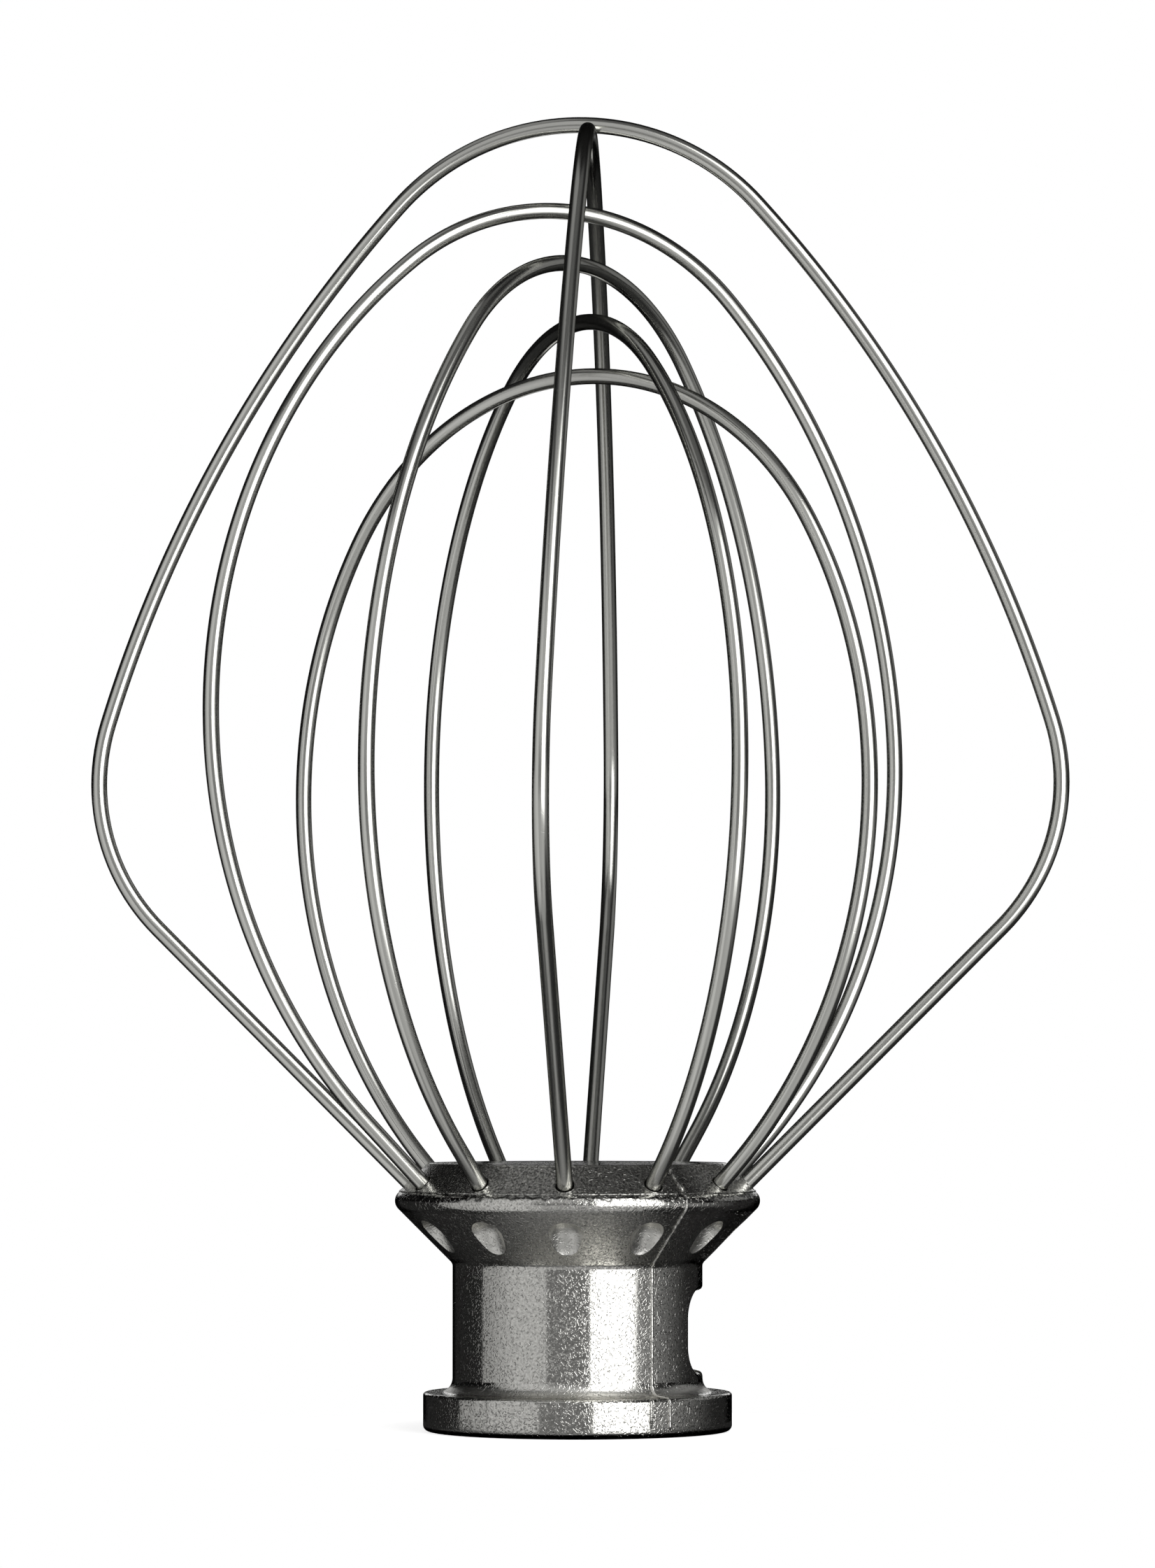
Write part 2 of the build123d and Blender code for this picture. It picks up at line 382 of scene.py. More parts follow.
def place(tree, kind, inputs=None, **settings):
    """Adds a node: settings are its own choices, inputs are values or sockets for its sockets."""
    node = tree.nodes.new(kind)
    for name, value in settings.items():
        setattr(node, name, value)
    for name, value in (inputs or {}).items():
        if isinstance(value, bpy.types.NodeSocket):
            tree.links.new(value, node.inputs[name])
        else:
            node.inputs[name].default_value = value
    return node


def math_node(tree, operation, first, second=0.0, third=0.0):
    """Output of one sum on numbers or sockets."""
    node = place(tree, "ShaderNodeMath", {0: first, 1: second, 2: third}, operation=operation)
    return node.outputs[0]


def vector_node(tree, operation, first, second=(0, 0, 0)):
    """Output of one sum on vectors; a dot product or a length comes out as a number."""
    node = place(tree, "ShaderNodeVectorMath", {0: first, 1: second}, operation=operation)
    return node.outputs["Value" if operation in {"DOT_PRODUCT", "LENGTH"} else "Vector"]


def remap(tree, value, low, high, new_low=0.0, new_high=1.0, kind="LINEAR"):
    """A value's range carried to a new range, and held there."""
    node = place(
        tree, "ShaderNodeMapRange",
        {"Value": value, "From Min": low, "From Max": high, "To Min": new_low, "To Max": new_high},
        interpolation_type=kind,
    )
    return node.outputs["Result"]


def new_tree(name, kind, inputs, outputs):
    """A node group with named sockets, and its input and output nodes."""
    tree = bpy.data.node_groups.new(name, kind)
    for label, socket in inputs:
        tree.interface.new_socket(label, in_out="INPUT", socket_type=socket)
    for label, socket in outputs:
        tree.interface.new_socket(label, in_out="OUTPUT", socket_type=socket)
    return tree, tree.nodes.new("NodeGroupInput").outputs, tree.nodes.new("NodeGroupOutput").inputs


def use_group(tree, group, inputs):
    """Places a shared shader group with its own values and returns its outputs."""
    return place(tree, "ShaderNodeGroup", inputs, node_tree=group).outputs


def cast_skin_group():
    """Slow waves of a tumbled casting, its fine grain and its crowd of small specks, each from 0 to 1."""
    tree, given, result = new_tree(
        "cast_skin", "ShaderNodeTree",
        [
            ("Vector", "NodeSocketVector"), ("Speck Size", "NodeSocketFloat"),
            ("Wave Size", "NodeSocketFloat"),
        ],
        [("Grain", "NodeSocketFloat"), ("Specks", "NodeSocketFloat"), ("Wave", "NodeSocketFloat")],
    )
    grain = place(
        tree, "ShaderNodeTexNoise",
        {
            "Vector": given["Vector"], "Scale": math_node(tree, "DIVIDE", 1.0, given["Speck Size"]),
            "Detail": 1.0, "Roughness": 0.6,
        },
    )
    wave = place(
        tree, "ShaderNodeTexNoise",
        {
            "Vector": given["Vector"], "Scale": math_node(tree, "DIVIDE", 1.0, given["Wave Size"]),
            "Detail": 1.0, "Roughness": 0.4,
        },
    )
    specks = remap(tree, grain.outputs["Fac"], 0.55, 0.75, kind="SMOOTHSTEP")
    tree.links.new(remap(tree, grain.outputs["Color"], 0.3, 0.7), result["Grain"])
    tree.links.new(specks, result["Specks"])
    tree.links.new(wave.outputs["Fac"], result["Wave"])
    return tree


def hairline_group():
    """Short straight scratches that lie every way, as a mask from 0 to 1."""
    tree, given, result = new_tree(
        "hairlines", "ShaderNodeTree",
        [("Vector", "NodeSocketVector"), ("Reach", "NodeSocketFloat"), ("Width", "NodeSocketFloat")],
        [("Mask", "NodeSocketFloat")],
    )
    cells = place(
        tree, "ShaderNodeTexVoronoi",
        {"Vector": given["Vector"], "Scale": math_node(tree, "DIVIDE", 1.0, given["Reach"])},
    )
    local = vector_node(tree, "SUBTRACT", given["Vector"], cells.outputs["Position"])
    lie = vector_node(tree, "SUBTRACT", cells.outputs["Color"], (0.5, 0.5, 0.5))
    across = math_node(
        tree, "ABSOLUTE", vector_node(tree, "DOT_PRODUCT", local, vector_node(tree, "NORMALIZE", lie))
    )
    line = remap(tree, math_node(tree, "DIVIDE", across, given["Width"]), 0.3, 1.0, 1.0, 0.0, "SMOOTHSTEP")
    ends = remap(tree, cells.outputs["Distance"], 0.28, 0.5, 1.0, 0.0, "SMOOTHSTEP")
    tree.links.new(math_node(tree, "MULTIPLY", line, ends), result["Mask"])
    return tree


def new_material(name):
    """An empty node material and its output node's surface socket."""
    material = bpy.data.materials.new(name)
    material.use_nodes = True
    tree = material.node_tree
    tree.nodes.clear()
    return material, tree, tree.nodes.new("ShaderNodeOutputMaterial").inputs["Surface"]


def tinted(tree, tone, share):
    """A colour darkened by a share that changes over the surface."""
    node = place(
        tree, "ShaderNodeMix", {6: (*tone, 1.0), 7: (0.0, 0.0, 0.0, 1.0), 0: share}, data_type="RGBA"
    )
    return node.outputs[2]


def dull_patches(tree, place_in, wave):
    """Where the casting is duller, from 0 to 1: flare, top cone, dimples, line above the rim, neck's foot.

    The dimples lie below the cone of the flare, and the line runs unevenly.
    """
    height = place(tree, "ShaderNodeSeparateXYZ", {"Vector": place_in}).outputs["Z"]
    radius = vector_node(tree, "LENGTH", vector_node(tree, "MULTIPLY", place_in, (1, 1, 0)))
    below = math_node(tree, "SUBTRACT", math_node(tree, "SUBTRACT", height, FLARE_OFFSET_MM * MM), radius)
    dimples = remap(tree, below, DIMPLE_EDGE_MM[0] * MM, DIMPLE_EDGE_MM[1] * MM)
    shallow = math_node(tree, "LESS_THAN", below, DIMPLE_DEPTH_MM * MM)
    dimples = math_node(tree, "MULTIPLY", dimples, shallow)
    low = math_node(tree, "LESS_THAN", height, DIMPLE_TOP_MM * MM)
    dimples = math_node(tree, "MULTIPLY", dimples, low)
    uneven = math_node(tree, "MULTIPLY_ADD", wave, RIM_WAVER_MM * MM, height)
    flare = remap(tree, height, NECK_TOP_MM * MM, (NECK_TOP_MM + FLARE_FOOT_EDGE_MM) * MM)
    flare_end = (DIMPLE_TOP_MM + FLARE_HEAD_EDGE_MM) * MM
    flare = math_node(tree, "MULTIPLY", flare, remap(tree, height, DIMPLE_TOP_MM * MM, flare_end, 1.0, 0.0))
    above = math_node(tree, "SUBTRACT", uneven, (RIM_HEIGHT_MM + RIM_LINE_RISE_MM) * MM)
    top = remap(tree, above, TOP_EDGE_MM[0] * MM, TOP_EDGE_MM[1] * MM)
    top = math_node(tree, "MULTIPLY", top, math_node(tree, "LESS_THAN", height, HEAD_MM * MM))
    edges = [edge * MM for edge in RIM_LINE_EDGES_MM]
    line = math_node(
        tree, "MULTIPLY", remap(tree, above, edges[0], edges[1]),
        remap(tree, above, edges[2], edges[3], 1.0, 0.0),
    )
    foot = remap(tree, height, (FOOT_TOP_MM - FOOT_EDGES_MM[1]) * MM, FOOT_TOP_MM * MM, 1.0, 0.0)
    risen = remap(tree, height, FLANGE_TOP_MM * MM, (FLANGE_TOP_MM + FOOT_EDGES_MM[0]) * MM)
    foot = math_node(tree, "MULTIPLY", foot, risen)
    return flare, top, dimples, line, foot


def burnished_aluminium(settings, skin, hairlines):
    """Tumbled casting: glossy and gently waved, broken up by specks, nicks and scratches, with painted shade
    darkening the top cone.
    """
    material, tree, surface = new_material("burnished_aluminium")
    place_in = tree.nodes.new("ShaderNodeTexCoord").outputs["Object"]
    marks = use_group(
        tree, skin,
        {"Vector": place_in, "Speck Size": settings.speck_size, "Wave Size": settings.wave_size},
    )
    height = math_node(tree, "MULTIPLY", marks["Specks"], settings.speck_depth)
    height = math_node(tree, "MULTIPLY_ADD", marks["Wave"], settings.wave_depth, height)
    scratches, nicks = [
        use_group(tree, hairlines, {"Vector": place_in, "Reach": reach, "Width": width})["Mask"]
        for reach, width in (
            (settings.scratch_reach, settings.scratch_width), (settings.nick_reach, settings.nick_width),
        )
    ]
    height = math_node(tree, "MULTIPLY_ADD", scratches, -settings.speck_depth, height)
    height = math_node(tree, "MULTIPLY_ADD", nicks, -NICK_DEPTH * settings.speck_depth, height)
    flare, top, dimples, line, foot = dull_patches(tree, place_in, marks["Wave"])
    cones = math_node(tree, "MAXIMUM", flare, top)
    dulled = settings.roughness + SPECK_DULLING
    roughness = remap(tree, marks["Specks"], 0.1, 0.9, settings.roughness, dulled)
    for patch, dullest in (
        (cones, settings.cone_roughness),
        (dimples, settings.dimple_roughness),
        (foot, settings.foot_roughness),
    ):
        roughness = math_node(tree, "MAXIMUM", roughness, math_node(tree, "MULTIPLY", patch, dullest))
    soil_and_shade = math_node(tree, "MULTIPLY", marks["Grain"], settings.soil_and_shade)
    # The top cone takes more of the grain's darkening: painted shade
    painted_top_shade = math_node(tree, "MULTIPLY_ADD", top, TOP_PAINTED_SHADE, 1.0)
    soil_and_shade = math_node(tree, "MULTIPLY", soil_and_shade, math_node(tree, "MULTIPLY_ADD", flare, FLARE_SOIL, painted_top_shade))
    # The dimples and the neck's foot lose most of the grain's darkening and come out lighter
    lightened = math_node(tree, "MAXIMUM", dimples, foot)
    soil_and_shade = math_node(tree, "MULTIPLY", soil_and_shade, math_node(tree, "MULTIPLY_ADD", lightened, -DIMPLE_AND_FOOT_LIGHTENING, 1.0))
    soil_and_shade = math_node(tree, "MULTIPLY_ADD", nicks, NICK_SOIL, soil_and_shade)
    # An uneven line just above the rim is darkened
    soil_and_shade = math_node(tree, "MAXIMUM", soil_and_shade, math_node(tree, "MULTIPLY", line, RIM_LINE_DARKENING))
    shader = place(
        tree, "ShaderNodeBsdfPrincipled",
        {
            "Base Color": tinted(tree, settings.tone, soil_and_shade),
            "Metallic": 1.0,
            "Roughness": roughness,
            "Normal": place(tree, "ShaderNodeBump", {"Distance": 1.0, "Height": height}).outputs["Normal"],
        },
    )
    tree.links.new(shader.outputs["BSDF"], surface)
    return material


def drawn_steel(settings, hairlines):
    """Polished wire: fine lines along its length from the drawing die, and handling scratches."""
    material, tree, surface = new_material("drawn_steel")
    section = place(tree, "ShaderNodeAttribute", attribute_name="section").outputs["Vector"]
    along = place(tree, "ShaderNodeAttribute", attribute_name="along").outputs["Fac"]
    lay = place(
        tree, "ShaderNodeCombineXYZ", {"Z": math_node(tree, "DIVIDE", along, settings.line_length)}
    ).outputs["Vector"]
    spread = 1 / settings.line_width
    drawn = vector_node(
        tree, "ADD", vector_node(tree, "MULTIPLY", section, (spread, spread, 0.0)), lay
    )
    lines = place(
        tree, "ShaderNodeTexNoise", {"Vector": drawn, "Scale": 1.0, "Detail": 2.0}
    ).outputs["Fac"]
    place_in = tree.nodes.new("ShaderNodeTexCoord").outputs["Object"]
    scratch = use_group(
        tree, hairlines,
        {"Vector": place_in, "Reach": settings.scratch_reach, "Width": settings.scratch_width},
    )["Mask"]
    height = math_node(tree, "MULTIPLY", lines, settings.line_depth)
    height = math_node(tree, "MULTIPLY_ADD", scratch, -SCRATCH_DEPTH * settings.line_depth, height)
    roughness = remap(tree, lines, 0.3, 0.75, settings.roughness, settings.roughness + LINE_DULLING)
    shade = remap(tree, lines, 0.5, 0.8, 0.0, LINE_SHADE)
    shader = place(
        tree, "ShaderNodeBsdfPrincipled",
        {
            "Base Color": tinted(tree, settings.tone, shade),
            "Metallic": 1.0,
            "Specular Tint": (*settings.edge_tint, 1.0),
            "Roughness": roughness,
            "Normal": place(tree, "ShaderNodeBump", {"Distance": 1.0, "Height": height}).outputs["Normal"],
        },
    )
    tree.links.new(shader.outputs["BSDF"], surface)
    return material


def shared_group(name, build):
    """A shader group, built on its first use."""
    return bpy.data.node_groups.get(name) or build()


def link_object(name, data):
    """A new object at the origin, in the scene."""
    item = bpy.data.objects.new(name, data)
    bpy.context.scene.collection.objects.link(item)
    return item


def chain_mesh(name, chains):
    """Runs of points joined by edges, as one mesh."""
    points = [point for chain in chains for point in chain]
    edges = []
    first = 0
    for chain in chains:
        edges += [(index, index + 1) for index in range(first, first + len(chain) - 1)]
        first += len(chain)
    mesh = bpy.data.meshes.new(name)
    mesh.from_pydata(points, edges, [])
    return mesh


def grown(name, base, tree, values):
    """Runs a geometry tree on a mesh and returns its result as a plain piece."""
    carrier = link_object(name + "_base", base)
    modifier = carrier.modifiers.new(tree.name, "NODES")
    modifier.node_group = tree
    for socket in tree.interface.items_tree:
        if socket.in_out == "INPUT" and socket.name in values:
            modifier[socket.identifier] = values[socket.name]
    graph = bpy.context.evaluated_depsgraph_get()
    mesh = bpy.data.meshes.new_from_object(
        carrier.evaluated_get(graph), preserve_all_data_layers=True, depsgraph=graph
    )
    bpy.data.objects.remove(carrier)
    mesh.name = name
    return link_object(name, mesh)


def arc_points(start, heading, end, step):
    """Points after the start on the arc that leaves it on this heading and comes to the end."""
    chord = end - start
    inwards = (chord - chord.dot(heading) * heading).normalized()
    radius = chord.length_squared / (2 * chord.dot(inwards))
    sweep = math.atan2(chord.dot(heading), radius - chord.dot(inwards)) % math.tau
    count = math.ceil(radius * sweep / step)
    angles = [sweep * index / count for index in range(1, count + 1)]
    return [
        start + radius * (math.sin(angle) * heading + (1 - math.cos(angle)) * inwards) for angle in angles
    ]


def half_loop(loop, side, step):
    """Points and last heading of half a loop in millimetres, from its hole's bottom to its crown.

    The shoulder arc is tangent to the straight run out of the hole, the crown arc tops the loop, and
    the side arc is tangent to both.
    """
    turn = math.radians(loop.turn + 180 * side)
    out = Vector((math.cos(turn), math.sin(turn), 0))
    axis = math.cos(FLARE) * out + Vector((0, 0, math.sin(FLARE)))
    roll = Quaternion(axis, math.radians(loop.rolls[side]))
    rise = roll @ (Vector((0, 0, math.cos(FLARE))) - math.sin(FLARE) * out)
    mouth = MOUTH_RADIUS_MM * out + Vector((0, 0, MOUTH_HEIGHT_MM))
    reach = loop.reaches[side]
    lean = math.radians(loop.shoulder_lean)
    widest = loop.widest_heights[side] - MOUTH_HEIGHT_MM
    crown_x = loop.crown_shift * (1 - 2 * side)
    crown_y = loop.crown_height - loop.crown_radius - MOUTH_HEIGHT_MM
    shoulder = math.cos(FLARE) * widest - math.sin(FLARE) * (reach - MOUTH_RADIUS_MM)
    shoulder /= 1 - math.sin(FLARE)
    across = reach - shoulder - crown_x
    down = widest - crown_y
    change = shoulder - loop.crown_radius
    growth = (across**2 + down**2 - change**2) / (
        2 * (across * math.cos(lean) + down * math.sin(lean) + change)
    )
    crown_turn = math.atan2(
        crown_y - widest + growth * math.sin(lean), crown_x - reach + shoulder + growth * math.cos(lean)
    )
    straight = (reach - shoulder * (1 - math.sin(FLARE)) - MOUTH_RADIUS_MM) / math.cos(FLARE)
    points = [mouth - WIRE_INSERTION_MM * axis, mouth + straight * axis]
    angle = 0
    for radius, amount in (
        (shoulder, math.pi / 2 - FLARE + lean),
        (shoulder + growth, crown_turn - lean),
    ):
        centre = points[-1] + radius * (math.cos(angle) * rise - math.sin(angle) * axis)
        count = math.ceil(radius * amount / step)
        for index in range(1, count + 1):
            bend = angle + amount * index / count
            points.append(centre + radius * (math.sin(bend) * axis - math.cos(bend) * rise))
        angle += amount
    return points, math.cos(angle) * axis + math.sin(angle) * rise


def loop_centreline(loop, step):
    """Centreline of one loop in metres: two halves, and two tangent arcs that join them as the crown."""
    (first, leaving), (last, back) = [half_loop(loop, side, step / MM) for side in (0, 1)]
    chord = last[-1] - first[-1]
    heading = leaving - back
    swing = 2 * (1 + leaving.dot(back))
    reach = (math.sqrt(chord.dot(heading) ** 2 + swing * chord.dot(chord)) - chord.dot(heading)) / swing
    middle = (first[-1] + last[-1] + (leaving + back) * reach) / 2
    last += arc_points(last[-1], back, middle, step / MM)[:-1]
    first += arc_points(first[-1], leaving, middle, step / MM)
    return [point * MM for point in first + last[::-1]]


def drawn_wire_tree():
    """Sweeps a round section along a centreline, and keeps each point's place along and around the wire."""
    tree, given, result = new_tree(
        "drawn_wire", "GeometryNodeTree",
        [
            ("Centreline", "NodeSocketGeometry"), ("Diameter", "NodeSocketFloat"),
            ("Sides", "NodeSocketInt"), ("Finish", "NodeSocketMaterial"),
        ],
        [("Wire", "NodeSocketGeometry")],
    )
    path = place(tree, "GeometryNodeMeshToCurve", {"Mesh": given["Centreline"]}).outputs["Curve"]
    length = tree.nodes.new("GeometryNodeSplineParameter").outputs["Length"]
    path = place(
        tree, "GeometryNodeStoreNamedAttribute", {"Geometry": path, "Name": "along", "Value": length},
        data_type="FLOAT",
    ).outputs["Geometry"]
    radius = math_node(tree, "MULTIPLY", given["Diameter"], 0.5)
    circle = place(
        tree, "GeometryNodeCurvePrimitiveCircle", {"Resolution": given["Sides"], "Radius": radius}
    ).outputs["Curve"]
    position = tree.nodes.new("GeometryNodeInputPosition").outputs["Position"]
    circle = place(
        tree, "GeometryNodeStoreNamedAttribute", {"Geometry": circle, "Name": "section", "Value": position},
        data_type="FLOAT_VECTOR",
    ).outputs["Geometry"]
    wire = place(
        tree, "GeometryNodeCurveToMesh", {"Curve": path, "Profile Curve": circle, "Fill Caps": True}
    ).outputs["Mesh"]
    wire = place(tree, "GeometryNodeRealizeInstances", {"Geometry": wire}).outputs["Geometry"]
    wire = place(tree, "GeometryNodeSetMaterial", {"Geometry": wire, "Material": given["Finish"]})
    tree.links.new(wire.outputs["Geometry"], result["Wire"])
    return tree


def flash_line_tree():
    """Drops lines onto a casting from outside and lays an uneven bead of flash along them."""
    tree, given, result = new_tree(
        "flash_line", "GeometryNodeTree",
        [
            ("Lines", "NodeSocketGeometry"), ("Casting", "NodeSocketObject"), ("Bead", "NodeSocketFloat"),
            ("Spacing", "NodeSocketFloat"), ("Rim Height", "NodeSocketFloat"), ("Seed", "NodeSocketInt"),
            ("Finish", "NodeSocketMaterial"),
        ],
        [("Flash", "NodeSocketGeometry")],
    )
    casting = place(tree, "GeometryNodeObjectInfo", {"Object": given["Casting"]}).outputs["Geometry"]
    lines = place(tree, "GeometryNodeMeshToCurve", {"Mesh": given["Lines"]}).outputs["Curve"]
    lines = place(
        tree, "GeometryNodeResampleCurve", {"Curve": lines, "Length": given["Spacing"]}, mode="LENGTH"
    ).outputs["Curve"]
    position = tree.nodes.new("GeometryNodeInputPosition").outputs["Position"]
    inwards = vector_node(tree, "NORMALIZE", vector_node(tree, "MULTIPLY", position, (-1, -1, 0)))
    hit = place(
        tree, "GeometryNodeRaycast",
        {"Target Geometry": casting, "Source Position": position, "Ray Direction": inwards},
    ).outputs
    lines = place(
        tree, "GeometryNodeSetPosition", {"Geometry": lines, "Position": hit["Hit Position"]}
    ).outputs["Geometry"]
    noise = place(
        tree, "ShaderNodeTexNoise",
        {"Vector": position, "W": given["Seed"], "Scale": FLASH_CHANGE, "Detail": 2.0},
        noise_dimensions="4D",
    ).outputs["Fac"]
    rise = place(tree, "ShaderNodeSeparateXYZ", {"Vector": position}).outputs["Z"]
    rise = math_node(tree, "SUBTRACT", rise, given["Rim Height"])
    swell = remap(tree, rise, SWELL_HEIGHTS_MM[0] * MM, SWELL_HEIGHTS_MM[1] * MM, 1.0, TOP_SWELL)
    bead = math_node(tree, "MULTIPLY", remap(tree, noise, 0.32, 0.62, *FLASH_RANGE), swell)
    bead = math_node(tree, "MULTIPLY", bead, given["Bead"])
    circle = place(
        tree, "GeometryNodeCurvePrimitiveCircle", {"Resolution": BEAD_SIDES, "Radius": 1.0}
    ).outputs["Curve"]
    flash = place(
        tree, "GeometryNodeCurveToMesh",
        {"Curve": lines, "Profile Curve": circle, "Scale": bead, "Fill Caps": True},
    ).outputs["Mesh"]
    flash = place(tree, "GeometryNodeRealizeInstances", {"Geometry": flash}).outputs["Geometry"]
    flash = place(tree, "GeometryNodeSetMaterial", {"Geometry": flash, "Material": given["Finish"]})
    tree.links.new(flash.outputs["Geometry"], result["Flash"])
    return tree


def hole_burr_tree():
    """Lays a broken lip of metal round each wire hole, standing square to the hole's axis."""
    tree, given, result = new_tree(
        "hole_burr", "GeometryNodeTree",
        [
            ("Mouths", "NodeSocketGeometry"), ("Hole Radius", "NodeSocketFloat"),
            ("Burr", "NodeSocketFloat"), ("Seed", "NodeSocketInt"), ("Finish", "NodeSocketMaterial"),
        ],
        [("Burrs", "NodeSocketGeometry")],
    )
    ring = place(
        tree, "GeometryNodeCurvePrimitiveCircle", {"Resolution": BURR_POINTS, "Radius": given["Hole Radius"]}
    ).outputs["Curve"]
    position = tree.nodes.new("GeometryNodeInputPosition").outputs["Position"]
    outwards = vector_node(tree, "NORMALIZE", vector_node(tree, "MULTIPLY", position, (1, 1, 0)))
    axis = vector_node(tree, "ADD", outwards, (0, 0, math.tan(FLARE)))
    aim = place(
        tree, "FunctionNodeAlignRotationToVector", {"Vector": axis}, axis="Z"
    ).outputs["Rotation"]
    rings = place(
        tree, "GeometryNodeInstanceOnPoints",
        {"Points": given["Mouths"], "Instance": ring, "Rotation": aim},
    ).outputs["Instances"]
    rings = place(tree, "GeometryNodeRealizeInstances", {"Geometry": rings}).outputs["Geometry"]
    noise = place(
        tree, "ShaderNodeTexNoise",
        {"Vector": position, "W": given["Seed"], "Scale": BURR_CHANGE, "Detail": 1.0},
        noise_dimensions="4D",
    ).outputs["Fac"]
    bead = math_node(tree, "MULTIPLY", remap(tree, noise, 0.38, 0.66, *BURR_RANGE), given["Burr"])
    circle = place(
        tree, "GeometryNodeCurvePrimitiveCircle", {"Resolution": BEAD_SIDES, "Radius": 1.0}
    ).outputs["Curve"]
    burrs = place(
        tree, "GeometryNodeCurveToMesh", {"Curve": rings, "Profile Curve": circle, "Scale": bead}
    ).outputs["Mesh"]
    burrs = place(tree, "GeometryNodeSetMaterial", {"Geometry": burrs, "Material": given["Finish"]})
    tree.links.new(burrs.outputs["Geometry"], result["Burrs"])
    return tree


def on_sphere(azimuth, elevation, distance=1.0):
    """Point at this azimuth and elevation, in degrees, about the origin."""
    turn = math.radians(azimuth)
    rise = math.radians(elevation)
    return distance * Vector(
        (math.cos(rise) * math.sin(turn), -math.cos(rise) * math.cos(turn), math.sin(rise))
    )


def card_material(card):
    """Even light that fades out across the card's feathers."""
    material, tree, surface = new_material(card.name)
    place_in = place(
        tree, "ShaderNodeSeparateXYZ", {"Vector": tree.nodes.new("ShaderNodeTexCoord").outputs["UV"]}
    ).outputs
    mask = 1.0
    for axis, span, feathers in (
        ("X", card.azimuths[1] - card.azimuths[0], card.feathers[:2]),
        ("Y", card.elevations[1] - card.elevations[0], card.feathers[2:]),
    ):
        low, high = [feather / span for feather in feathers]
        if low:
            mask = math_node(tree, "MULTIPLY", mask, remap(tree, place_in[axis], 0, low, kind="SMOOTHSTEP"))
        if high:
            fade = remap(tree, place_in[axis], 1 - high, 1, 1, 0, "SMOOTHSTEP")
            mask = math_node(tree, "MULTIPLY", mask, fade)
    light = place(tree, "ShaderNodeEmission", {"Strength": card.radiance}).outputs["Emission"]
    clear = tree.nodes.new("ShaderNodeBsdfTransparent").outputs["BSDF"]
    mixed = place(tree, "ShaderNodeMixShader", {0: mask, 1: clear, 2: light}).outputs["Shader"]
    tree.links.new(mixed, surface)
    return material


def hang_card(card, centre):
    """Builds one card as a patch of a sphere about the whisk, out of the camera's sight."""
    columns = max(2, round((card.azimuths[1] - card.azimuths[0]) / CARD_STEP))
    rows = max(2, round((card.elevations[1] - card.elevations[0]) / CARD_STEP))
    points = []
    places = []
    for row in range(rows + 1):
        for column in range(columns + 1):
            share = Vector((column / columns, row / rows))
            azimuth = card.azimuths[0] + share.x * (card.azimuths[1] - card.azimuths[0])
            elevation = card.elevations[0] + share.y * (card.elevations[1] - card.elevations[0])
            points.append(centre + on_sphere(azimuth, elevation, card.distance))
            places.append(share)
    width = columns + 1
    corners = [row * width + column for row in range(rows) for column in range(columns)]
    faces = [(corner, corner + width, corner + width + 1, corner + 1) for corner in corners]
    mesh = bpy.data.meshes.new(card.name)
    mesh.from_pydata(points, [], faces)
    layer = mesh.uv_layers.new(name="card")
    for corner in mesh.loops:
        layer.data[corner.index].uv = places[corner.vertex_index]
    mesh.materials.append(card_material(card))
    item = link_object("card_" + card.name, mesh)
    item.visible_camera = False


def disc(name, radius, height, material):
    """A flat round sheet about the axis."""
    turns = [math.tau * index / DISC_SIDES for index in range(DISC_SIDES)]
    rim = [(radius * math.cos(turn), radius * math.sin(turn), height) for turn in turns]
    mesh = bpy.data.meshes.new(name)
    mesh.from_pydata(rim, [], [tuple(range(DISC_SIDES))])
    mesh.materials.append(material)
    item = link_object(name, mesh)
    return item


def seen_by_lens_or_gloss(tree):
    """1 for rays from the camera, from gloss and through clear stuff, and 0 for the rest."""
    path = tree.nodes.new("ShaderNodeLightPath").outputs
    seen = math_node(tree, "ADD", path["Is Camera Ray"], path["Is Glossy Ray"])
    seen = math_node(tree, "ADD", seen, path["Is Transmission Ray"])
    return math_node(tree, "MINIMUM", seen, 1.0)


def floor_material(radius):
    """Pale floor that keeps the whisk's shadow near the hub and fades to the white backdrop."""
    material, tree, surface = new_material("pale_floor")
    place_in = tree.nodes.new("ShaderNodeTexCoord").outputs["Object"]
    reach = vector_node(tree, "LENGTH", place_in)
    near, far = [share * radius for share in FLOOR_FADE]
    level = remap(tree, reach, near, far, FLOOR_GLOW, 1.0, "SMOOTHSTEP")
    level = math_node(tree, "MULTIPLY", level, seen_by_lens_or_gloss(tree))
    glow = place(tree, "ShaderNodeEmission", {"Strength": level}).outputs["Emission"]
    matt = place(tree, "ShaderNodeBsdfDiffuse", {"Color": (*[FLOOR_GREY] * 3, 1)}).outputs["BSDF"]
    both = place(tree, "ShaderNodeAddShader", {0: glow, 1: matt}).outputs["Shader"]
    tree.links.new(both, surface)
    return material


